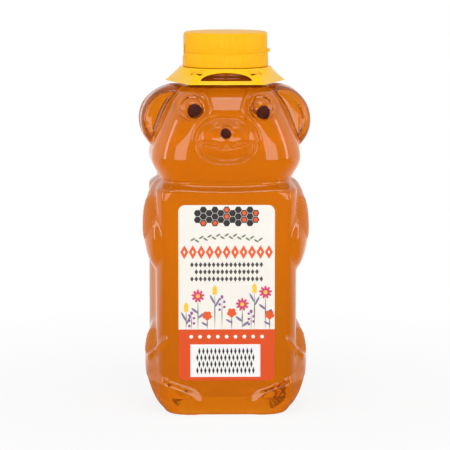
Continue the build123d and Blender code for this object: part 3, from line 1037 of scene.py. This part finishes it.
def meadow_spots():
    """The flowers, leaves and stalks above the orange band, by ink."""
    stalks, leaves, pink, yellow, orange, violet = [], [], [], [], [], []
    for x, z in DAISIES:
        pink += petals(x, z, 9, 1.75, 0.6, 1.45)
        yellow.append((x, z, 0.95, 0.95, 0.0))
        stalks.append(stalk(x, z - 1.0))
        leaves += [(x - 1.5, z - 7.0, 0.6, 2.0, -52.0), (x + 1.5, z - 9.4, 0.6, 2.0, 52.0)]
    for x, z in BELLS:
        yellow += petals(x, z, 1, 0.0, 1.0, 2.1) + petals(x, z - 0.6, 1, 0.0, 0.8, 1.9, 24.0)
        yellow += petals(x, z - 0.6, 1, 0.0, 0.8, 1.9, -24.0)
        stalks.append(stalk(x, z - 1.4))
        leaves += [(x + 1.2, z - 6.2, 0.5, 2.4, 28.0), (x - 1.2, z - 4.6, 0.5, 2.4, -28.0)]
    for x, z in POPPIES:
        orange += petals(x, z, 5, 1.1, 1.05, 1.2, 36.0)
        stalks.append(stalk(x, z - 1.0))
        leaves.append((x - 1.3, z - 4.0, 0.5, 1.6, -60.0))
    for x, z in BERRIES:
        stalks.append(stalk(x, z + 2.0, half_width=0.18))
        for step in range(5):
            side = 1 if step % 2 else -1
            violet.append((x + side * 1.1, z + 1.9 - 1.25 * step, 0.62, 0.62, 0.0))
        violet += petals(x, z + 3.0, 1, 0.0, 0.7, 0.9)
    return stalks, leaves, pink, yellow, orange, violet


INKS = {
    "charcoal": (48, 42, 42), "orange": (232, 88, 26), "cream": CREAM, "yellow": (248, 200, 40),
    "sage": (118, 122, 96), "grey": (78, 72, 70), "moss": (84, 88, 70), "violet_grey": (134, 122, 158),
    "pink": (214, 62, 112), "violet": (150, 84, 150),
}


def print_label():
    """Generic print of cells, lozenges and meadow flowers."""
    cells = honeycomb(5, 3, 1.72, 3.16, 95.6)
    filled = [cell for cell in cells if (round(cell[0]) + round(cell[1])) % 3 == 0]
    garland = []
    for step in range(-8, 9):
        x, turned = 2.0 * step, (-1) ** step
        garland.append((x, 86.2 - 2.4 * (x / 17.0) ** 2 + 0.6 * turned, 0.42, 1.25, 58.0 * turned))
    lozenges = [(4.0 * step, 78.6, 1.9, 3.3, 0.0) for step in range(-5, 6)]
    small = []
    for z, reach in ((72.6, 8), (69.2, 7), (65.8, 8)):
        small += [(2.05 * step, z, 0.85, 1.3, 0.0) for step in range(-reach, reach + 1)]
    stalks, leaves, pink, gold, poppy, violet = meadow_spots()
    trellis = []
    for row in range(4):
        odd = row % 2
        for step in range(-7, 8 - odd):
            trellis.append((-0.6 + 1.9 * step + 0.95 * odd, 21.8 + 3.1 * row, 0.55, 1.75, 0.0))
    tree = printed_spots_tree()
    inks = {name: ink_material(name, linear(*screen)) for name, screen in INKS.items()}
    # Piece, ink, sides of its spots, level above the film, and the spots
    for name, ink, sides, level, spots in (
        ("comb_cells", "charcoal", 6, 0, cells),
        ("comb_fill", "orange", 6, 1, [(x, z, 1.15, 1.15, 0.0) for x, z, *_ in filled]),
        ("garland_leaves", "sage", 12, 0, garland),
        ("large_lozenges", "orange", 4, 0, lozenges),
        ("lozenge_hearts", "cream", 4, 1, [(x, z, 0.55, 1.0, 0.0) for x, z, *_ in lozenges]),
        ("small_lozenges", "grey", 4, 0, small),
        ("stalks", "moss", 4, 0, stalks),
        ("stalk_leaves", "violet_grey", 14, 1, leaves),
        ("pink_petals", "pink", 14, 1, pink),
        ("poppy_petals", "orange", 14, 1, poppy),
        ("violet_berries", "violet", 12, 1, violet),
        ("yellow_blooms", "yellow", 14, 2, gold),
        ("band_cells", "cream", 6, 0, [(4.2 * step, 38.1, 0.95, 0.95, 0.0) for step in range(-4, 5)]),
        ("panel_trellis", "charcoal", 4, 0, trellis),
    ):
        print_spots(tree, name, inks[ink], sides, level, spots)


# Ribs round the cap

def grip_ribs_tree():
    """Upright ribs evenly round a circle, half sunk in the wall, with a plain pad at each side."""
    inputs = (
        ("Geometry", ("Ring",)), ("Int", ("Count",)),
        ("Float", ("Radius", "Middle", "Height", "Width", "Plain")), ("Material", ("Plastic",)),
    )
    tree, given, out = node_group("grip_ribs", "Geometry", inputs, (("Geometry", ("Ribs",)),))
    nodes = tree.nodes
    ring = nodes.new("GeometryNodeMeshCircle")
    rib = set_inputs(nodes.new("GeometryNodeMeshCylinder"), Vertices=6)
    place = nodes.new("GeometryNodeInstanceOnPoints")
    lift = nodes.new("GeometryNodeTransform")
    height = nodes.new("ShaderNodeCombineXYZ")
    real = nodes.new("GeometryNodeRealizeInstances")
    dressed = nodes.new("GeometryNodeSetMaterial")
    wire(
        tree,
        (given, "Count", ring, "Vertices"),
        (given, "Radius", ring, "Radius"),
        (given, "Width", rib, "Radius"),
        (given, "Height", rib, "Depth"),
        (ring, "Mesh", place, "Points"),
        (rib, "Mesh", place, "Instance"),
        (given, "Middle", height, "Z"),
        (place, "Instances", lift, "Geometry"),
        (height, 0, lift, "Translation"),
        (lift, "Geometry", real, "Geometry"),
        (real, "Geometry", dressed, "Geometry"),
        (given, "Plastic", dressed, "Material"),
        (dressed, "Geometry", out, "Ribs"),
    )
    position = nodes.new("GeometryNodeInputPosition").outputs[0]
    off_side = math_step(tree, "ABSOLUTE", axis_of(tree, position, "Y"))
    beyond = math_step(tree, "GREATER_THAN", off_side, given.outputs["Plain"])
    tree.links.new(beyond, place.inputs["Selection"])
    return tree


def grip_ribs(tree, name, body, radius, low, high):
    """Fine ribs round one part of the cap, between two heights."""
    values = {
        "Radius": radius * MM, "Middle": (low + high) / 2 * MM, "Height": (high - low) * MM,
        "Width": GRIP_RIB_HALF_WIDTH * MM, "Plain": GRIP_PAD_HALF_WIDTH * MM,
        "Count": GRIP_RIB_COUNT, "Plastic": CAP_PLASTIC,
    }
    seat(repeated_piece(tree, name, bpy.data.meshes.new(name), values), body, "cap")


# Pieces

def rounded_copy(node, name, width, material):
    """Copy of a CAD node with its sharp edges rounded."""
    bm = bmesh.new()
    bm.from_mesh(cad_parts[node].data)
    bmesh.ops.remove_doubles(bm, verts=bm.verts, dist=1e-6)
    bmesh.ops.dissolve_limit(bm, angle_limit=math.radians(0.6), verts=bm.verts, edges=bm.edges)
    mesh = bpy.data.meshes.new(name)
    bm.to_mesh(mesh)
    bm.free()
    obj = piece_of(name, mesh, material)
    bevel = obj.modifiers.new("rounded_edges", "BEVEL")
    bevel.width = width * MM
    bevel.segments = 2
    bevel.limit_method = "ANGLE"
    bevel.angle_limit = math.radians(38)
    bevel.harden_normals = False
    apply_modifiers(obj)
    shade_smooth(obj.data)
    obj.data.set_sharp_from_angle(angle=math.radians(30))
    return obj


def close_lid_seam(lid):
    """Brings the lid's lower rim close to the cap, as a shut lid sits."""
    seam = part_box("flip_lid")[0][2]
    for vertex in lid.data.vertices:
        if vertex.co.z < seam + LID_RIM_HEIGHT * MM:
            vertex.co.z -= LID_SEAM_DROP * MM


def seat(obj, body, slot, *nodes):
    """Lets a finished piece move with its body, in the place of its CAD nodes."""
    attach(obj, body)
    if nodes:
        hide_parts(*nodes)
    return obj


bottle = piece_of("bear_bottle", bottle_mesh(), BOTTLE_PLASTIC)
bottle.data.materials.append(WETTED_PLASTIC)
seat(bottle, "bottle", "bottle", "bottle_shell", "bottle_neck")

honey = piece_of("honey_fill", honey_mesh(), HONEY)
honey.data.materials.append(HONEY_TOP)
for polygon in honey.data.polygons:
    polygon.material_index = 1 if polygon.center.z > (FILL_Z - 0.2) * MM else 0
seat(honey, "bottle", "honey", "honey")

for node, name, width, material, body, slot in (
    ("cap_base", "screw_cap", 0.05, CAP_PLASTIC, "cap", "cap"),
    ("flip_lid", "lid_with_tab", 0.06, CAP_PLASTIC, "lid", "cap"),
    ("living_hinge", "hinge_strap", 0.08, CAP_PLASTIC, "cap", "cap"),
    ("cap_liner", "seal_ring", 0.1, LINER_FOAM, "seal", "liner"),
    ("hat_brim", "five_sided_brim", 0.2, BRIM_PLASTIC, "bottle", "brim"),
):
    seat(rounded_copy(node, name, width, material), body, slot, node)

close_lid_seam(bpy.data.objects["lid_with_tab"])
cap_low, cap_high = (np.array(corner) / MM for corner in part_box("cap_base"))
lid_low, lid_high = (np.array(corner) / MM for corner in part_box("flip_lid"))
ribs = grip_ribs_tree()
grip_ribs(ribs, "base_grip_ribs", "cap", cap_high[1] - 0.1, cap_low[2] + 0.5, lid_low[2] - 0.3)
grip_ribs(ribs, "lid_grip_ribs", "lid", lid_high[1] - 0.1, lid_low[2] + 0.3, lid_high[2] - 1.4)

for node, name, ball, middle, radii, wave in (
    ("right_eye_paint", "right_eye_spot", (-EYE_X, *EYE_BALL[1:]), (1.0, -0.7), (3.5, 3.5), 1.3),
    ("left_eye_paint", "left_eye_spot", EYE_BALL, (1.3, -1.5), (3.25, 3.4), 4.4),
    ("nose_paint", "nose_spot", NOSE_BALL, (-0.5, -0.5), (2.55, 2.6), 2.2),
):
    spot = piece_of(name, paint_spot_mesh(ball, middle, radii, wave), EYE_PAINT)
    seat(spot, "bottle", "paint", node)

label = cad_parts["front_label"]
label.data.materials.clear()
label.data.materials.append(LABEL_FILM)
print_label()


# Stage, light and camera

class StageNodes:
    """Short way to chain math nodes in a stage or world material."""

    def __init__(self, tree, coordinates):
        self.tree, self.nodes, self.links = tree, tree.nodes, tree.links
        # Switches that are 1 for rays from the camera, off a mirroring face, or through clear plastic
        path = tree.nodes.new("ShaderNodeLightPath")
        self.camera, self.mirror, self.clear = (
            path.outputs[f"Is {kind} Ray"] for kind in ("Camera", "Glossy", "Transmission")
        )
        self.place = tree.nodes.new("ShaderNodeTexCoord").outputs[coordinates]
        self.depth = axis_of(tree, self.place, "Y")

    def step(self, operation, *values, clamp=False):
        return math_step(self.tree, operation, *values, clamp=clamp)

    def ramp(self, value, low, high, start, end):
        node = self.nodes.new("ShaderNodeMapRange")
        connect(self.links, node.inputs, (value, low, high, start, end))
        return node.outputs["Result"]


WORLD_LIGHT = 0.52
FLOOR_GLOW = 0.84
CAMERA_DISTANCE = 1200.0
CAMERA_HEIGHT = 156.0
CAMERA_TURN = 1.2
CAMERA_AIM_Z = 88.8
PHOTO_WIDTH = 450.0
PIXELS_PER_MM = 2.07
PHOTO_SHIFT = (-0.4, -2.0)

# Lamps: name, place, height they aim at, width and height, watts
LAMPS = (
    ("low_left", (-440.0, -1020.0, 130.0), 110.0, (760.0, 320.0), 2.3),
    ("low_right", (440.0, -1020.0, 130.0), 110.0, (760.0, 320.0), 2.3),
    ("top_front", (0.0, -740.0, 960.0), 120.0, (500.0, 440.0), 2.25),
    ("wide_top", (0.0, -620.0, 1250.0), 120.0, (1500.0, 240.0), 2.25),
    ("strip_left", (-1000.0, -260.0, 260.0), 90.0, (170.0, 620.0), 1.3),
    ("strip_right", (1000.0, -260.0, 260.0), 90.0, (170.0, 620.0), 1.3),
)


def stage_material(name, colour):
    """White floor that keeps shadows; it fades into the white surroundings away from the bottle, and seen
    through clear parts it carries a painted shadow near the bottle.
    """
    material = bpy.data.materials.new(name)
    material.use_nodes = True
    tree = StageNodes(material.node_tree, "Object")
    nodes, links = tree.nodes, tree.links
    shader = set_inputs(nodes["Principled BSDF"], Base_Color=colour, Roughness=0.9, Specular_IOR_Level=0.1)
    reach = nodes.new("ShaderNodeVectorMath")
    reach.operation = "LENGTH"
    links.new(tree.place, reach.inputs[0])
    far = tree.ramp(reach.outputs["Value"], 0.10, 0.30, FLOOR_GLOW, 1.0)
    # Painted shadow: seen through clear plastic, the floor's glow is darker near the bottle, in place of
    # the bottle's shadow there
    near_shade = tree.ramp(reach.outputs["Value"], 0.03, 0.6, 0.72, 1.0)
    front_shade = tree.ramp(tree.depth, -0.03, 0.15, 0.04, 1.0)
    only_mirrored = tree.step("SUBTRACT", tree.mirror, tree.clear, clamp=True)
    mirrored = tree.step("MULTIPLY", only_mirrored, front_shade)
    through = tree.step("MULTIPLY", tree.clear, near_shade)
    strength = tree.step("MAXIMUM", tree.camera, tree.step("MAXIMUM", mirrored, through))
    glow = nodes.new("ShaderNodeEmission")
    links.new(strength, glow.inputs["Strength"])
    bent = tree.step("MAXIMUM", tree.mirror, tree.clear)
    share = tree.step("MAXIMUM", bent, tree.step("MULTIPLY", tree.camera, far))
    mixer = nodes.new("ShaderNodeMixShader")
    connect(links, mixer.inputs, (share, shader.outputs[0], glow.outputs[0]))
    links.new(mixer.outputs[0], nodes["Material Output"].inputs["Surface"])
    return material


def stage_floor():
    """Round pale floor under the bottle."""
    points, faces = turned_rows([(1500.0, 0.0), (400.0, 0.0), (60.0, 0.0), (0.5, 0.0)], 96)
    mesh = mesh_in_millimetres("floor", points, faces)
    floor = piece_of("floor", mesh, stage_material("floor_white", (0.93, 0.93, 0.93, 1.0)))


def white_world():
    """White seen by the camera and through clear parts; mirrors see it behind and beside the bottle."""
    world = bpy.data.worlds.new("studio")
    bpy.context.scene.world = world
    world.use_nodes = True
    tree = StageNodes(world.node_tree, "Generated")
    back = set_inputs(tree.nodes["Background"], Color=(1.0, 1.0, 1.0, 1.0))
    wall = tree.ramp(tree.depth, -0.6, 0.15, 0.03, 1.0)
    clear = tree.step("MAXIMUM", tree.camera, tree.clear)
    mirrored = tree.step("MULTIPLY", tree.mirror, wall)
    plain = tree.step("SUBTRACT", 1.0, tree.step("MAXIMUM", clear, tree.mirror))
    lit = tree.step("MULTIPLY", plain, WORLD_LIGHT)
    seen = tree.step("MAXIMUM", clear, mirrored)
    tree.links.new(tree.step("MAXIMUM", seen, lit), back.inputs["Strength"])


def aimed(name, data, place, way):
    """Lamp or camera at a place in millimetres, facing one way."""
    obj = new_object(name, data)
    obj.location = place * MM
    obj.rotation_euler = way.to_track_quat("-Z", "Y").to_euler()
    return obj


def softbox(name, place, aim_height, size, watts):
    """Rectangular studio lamp that faces the middle line of the bottle; lengths in millimetres."""
    lamp = bpy.data.lights.new(name, "AREA")
    lamp.shape = "RECTANGLE"
    lamp.size, lamp.size_y = size[0] * MM, size[1] * MM
    lamp.energy = watts
    place = Vector(place)
    aimed(name, lamp, place, (Vector((0.0, 0.0, aim_height)) - place).normalized())


def photograph_camera():
    """Camera at the photograph's distance, turn and height."""
    turn, rise = math.radians(CAMERA_TURN), math.asin(CAMERA_HEIGHT / CAMERA_DISTANCE)
    back = Vector((-math.sin(turn) * math.cos(rise), -math.cos(turn) * math.cos(rise), math.sin(rise)))
    camera = bpy.data.cameras.new("camera")
    camera.sensor_width = 36.0
    camera.lens = 36.0 * PIXELS_PER_MM * CAMERA_DISTANCE / PHOTO_WIDTH
    camera.shift_x, camera.shift_y = (pixels / PHOTO_WIDTH for pixels in PHOTO_SHIFT)
    camera.clip_start, camera.clip_end = 0.05, 20.0
    place = Vector((0.0, 0.0, CAMERA_AIM_Z)) + back * CAMERA_DISTANCE
    bpy.context.scene.camera = aimed("camera", camera, place, -back)


stage_floor()
white_world()
for lamp in LAMPS:
    softbox(*lamp)
photograph_camera()
bpy.context.scene.view_settings.view_transform = "Standard"
